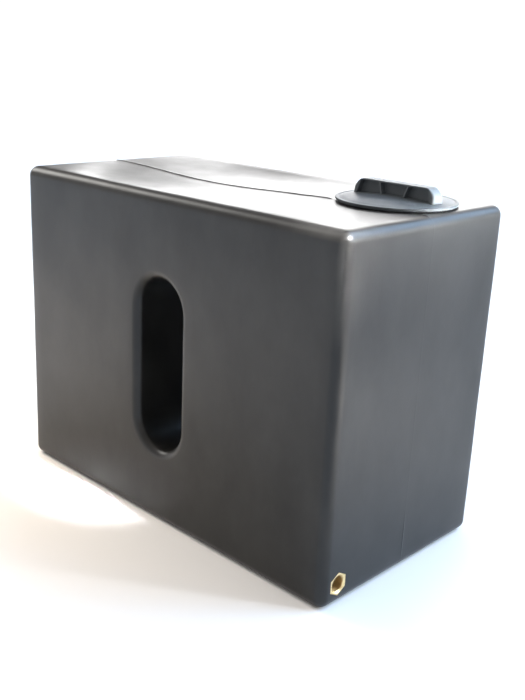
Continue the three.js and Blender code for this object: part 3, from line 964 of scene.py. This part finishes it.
def make_floor():
    half, cells = 6.0, 12
    line = [(-1 + 2 * i / cells) * half for i in range(cells + 1)]
    vertices = [(x, y, 0) for x in line for y in line]
    width = cells + 1
    faces = [
        (i * width + j, (i + 1) * width + j, (i + 1) * width + j + 1, i * width + j + 1)
        for i in range(cells) for j in range(cells)
    ]
    floor = make_object("floor", vertices, faces)
    floor.data.materials.append(floor_material())


def glow(tree, direction, azimuth, elevation, inner, outer, strength, colour):
    """A round patch of light in the sky, full within the inner angle and gone beyond the outer one.

    All angles are in degrees, the azimuth from +X towards +Y. A negative strength darkens.
    """
    azimuth, elevation = math.radians(azimuth), math.radians(elevation)
    centre = (
        math.cos(azimuth) * math.cos(elevation),
        math.sin(azimuth) * math.cos(elevation),
        math.sin(elevation),
    )
    toward = add(tree, "VectorMath", {0: direction, 1: centre}, operation="DOT_PRODUCT").outputs["Value"]
    edge, full = math.cos(math.radians(outer)), math.cos(math.radians(inner))
    amount = add(
        tree, "MapRange", {"Value": toward, "From Min": edge, "From Max": full},
        interpolation_type="SMOOTHSTEP",
    )
    tint = tuple(strength * channel for channel in colour)
    return add(tree, "VectorMath", {0: tint, "Scale": amount.outputs[0]}, operation="SCALE").outputs[0]


def slit(tree, direction, azimuth, inner, outer, strength):
    """An upright slit of white light near the horizon, with its half widths in degrees."""
    azimuth = math.radians(azimuth)
    across = (-math.sin(azimuth), math.cos(azimuth), 0)
    beside = add(tree, "VectorMath", {0: direction, 1: across}, operation="DOT_PRODUCT").outputs["Value"]
    distance = add(tree, "Math", {0: beside}, operation="ABSOLUTE").outputs[0]
    narrow = ramp(tree, distance, math.sin(math.radians(outer)), math.sin(math.radians(inner)))
    ahead_way = (math.cos(azimuth), math.sin(azimuth), 0)
    ahead = add(tree, "VectorMath", {0: direction, 1: ahead_way}, operation="DOT_PRODUCT").outputs["Value"]
    near_horizon = ramp(tree, ahead, 0.85, 0.92, 0.0, strength)
    return add(tree, "Math", {0: narrow, 1: near_horizon}, operation="MULTIPLY").outputs[0]


def make_world():
    """A white studio, bright at the horizon, with the lights and the dark patch that the tank mirrors."""
    world = bpy.data.worlds.new("studio")
    bpy.context.scene.world = world
    world.use_nodes = True
    tree = world.node_tree
    tree.nodes.clear()
    direction = add(tree, "TexCoord").outputs["Generated"]
    height = add(tree, "SeparateXYZ", {"Vector": direction}).outputs["Z"]
    light = mix_colours(tree, ramp(tree, height, 0.05, 0.4), (1.1, 1.1, 1.1, 1), (0.63, 0.6, 0.58, 1))
    white, sky_blue, warm_white = (1, 1, 1), (0.44, 0.68, 1), (1, 0.98, 0.94)
    bank_behind = glow(tree, direction, 120, 6, inner=17.5, outer=22, strength=4.8, colour=white)
    dark_patch = glow(tree, direction, 148.5, 14, inner=4, outer=10, strength=-1.0, colour=white)
    blue_window = glow(tree, direction, 59, 40, inner=14, outer=30, strength=8.0, colour=sky_blue)
    left_window = glow(tree, direction, 190, 31, inner=6, outer=16, strength=9.0, colour=warm_white)
    streak_on_top = slit(tree, direction, 143.4, inner=0.3, outer=1.2, strength=7.5)
    for part in (bank_behind, dark_patch, blue_window, left_window, streak_on_top):
        light = add(tree, "VectorMath", {0: light, 1: part}, operation="ADD").outputs[0]
    background = add(tree, "Background", {"Color": light, "Strength": 1.0})
    output = tree.nodes.new("ShaderNodeOutputWorld")
    tree.links.new(background.outputs[0], output.inputs[0])


def make_area_light(name, position, target, size, power, colour, beam=180, in_reflections=True):
    """A round lamp. Its beam is the full angle in degrees that the light leaves in."""
    data = bpy.data.lights.new(name, "AREA")
    data.spread = math.radians(beam)
    data.shape = "DISK"
    data.size = size
    data.energy = power
    data.color = colour
    light = bpy.data.objects.new(name, data)
    light.location = position
    light.rotation_mode = "QUATERNION"
    light.rotation_quaternion = (Vector(target) - Vector(position)).to_track_quat("-Z", "Y")
    light.visible_camera = False
    light.visible_glossy = in_reflections
    bpy.context.scene.collection.objects.link(light)


def make_pool_light(name, x, y, size, power, colour, beam):
    """A lamp straight above a place on the floor, which the tank's upright faces mirror."""
    height = 1.3
    make_area_light(name, (x, y, height), (x, y, 0), size, power, colour, beam, in_reflections=False)


def make_lamps():
    """The key lamp at the outlet end, spots for the grip's end and the near corner, and two floor lights."""
    middle, above_grip, near_corner = (0, 0, 0.3), (0.3, 0.06, 0.66), (0.345, -0.175, 0.525)
    pale, cool, white = (1, 0.99, 0.97), (0.95, 0.98, 1), (1, 1, 1)
    warm, amber = (1, 0.94, 0.86), (1, 0.82, 0.62)
    make_area_light("key", (2.55, 1.27, 1.25), middle, size=0.25, power=27, colour=pale)
    make_area_light("lid_spot", (2.55, 1.27, 0.97), above_grip, size=0.3, power=3, colour=cool, beam=9)
    make_pool_light("side_pool", 1.3, 0.15, size=0.8, power=13, colour=warm, beam=52)
    make_pool_light("front_pool", -1.1, -0.55, size=1.4, power=12, colour=amber, beam=100)
    make_area_light("corner_spot", (1.9, -0.13, 2.08), near_corner, size=0.1, power=0.6, colour=white, beam=4)


def make_camera():
    """The camera looks down on the corner between the front and the outlet end, rolled by 2 degrees."""
    azimuth, elevation, roll = math.radians(44.693), math.radians(17.765), math.radians(-2.183)
    position = Vector((1.0456, -1.0679, 0.7499))
    back = Vector((
        math.sin(azimuth) * math.cos(elevation),
        -math.cos(azimuth) * math.cos(elevation),
        math.sin(elevation),
    ))
    right = Vector((math.cos(azimuth), math.sin(azimuth), 0))
    down = -back.cross(right)
    rolled_right = math.cos(roll) * right + math.sin(roll) * down
    rolled_down = -math.sin(roll) * right + math.cos(roll) * down
    data = bpy.data.cameras.new("camera")
    data.sensor_width = 36
    data.lens = 47.94
    data.shift_x = 0.0361
    data.shift_y = -0.0133
    camera = bpy.data.objects.new("camera", data)
    axes = Matrix((rolled_right, -rolled_down, back)).transposed()
    camera.matrix_world = Matrix.Translation(position) @ axes.to_4x4()
    bpy.context.scene.collection.objects.link(camera)
    bpy.context.scene.camera = camera


# ---------------------------------------------------------------- assembly

def mount_piece(piece, body, slot, material, *nodes):
    """Gives a piece its material, and makes it stand for CAD nodes on a body."""
    piece.data.materials.clear()
    piece.data.materials.append(material)
    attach(piece, body)
    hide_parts(*nodes)


make_camera()
make_world()
make_floor()
make_lamps()

MOULDED = moulded_material()
LID_PLASTIC = lid_material()
BRASS = brass_material()
RUBBER = rubber_material()
STEEL = steel_material()

mount_piece(tank_body(), "tank", "moulded_body", MOULDED, "tank_shell")
mount_piece(outlet_insert(), "tank", "brass", BRASS, "outlet_insert")
mount_piece(ring_gasket(), "tank", "rubber", RUBBER, "ring_gasket")
mount_piece(filler_ring(), "tank", "lid_plastic", LID_PLASTIC, "filler_ring")
for screw_number in range(1, SCREW_COUNT + 1):
    screw_name = f"ring_screw_{screw_number}"
    mount_piece(ring_screw(screw_number), "tank", "screw_steel", STEEL, screw_name)
mount_piece(lid_seal(), "lid_seal", "rubber", RUBBER, "lid_seal")
mount_piece(lid(), "lid", "lid_plastic", LID_PLASTIC, "lid")
mount_piece(vent_valve(), "lid", "rubber", RUBBER, "vent_valve")

bpy.context.scene.view_settings.view_transform = "Standard"
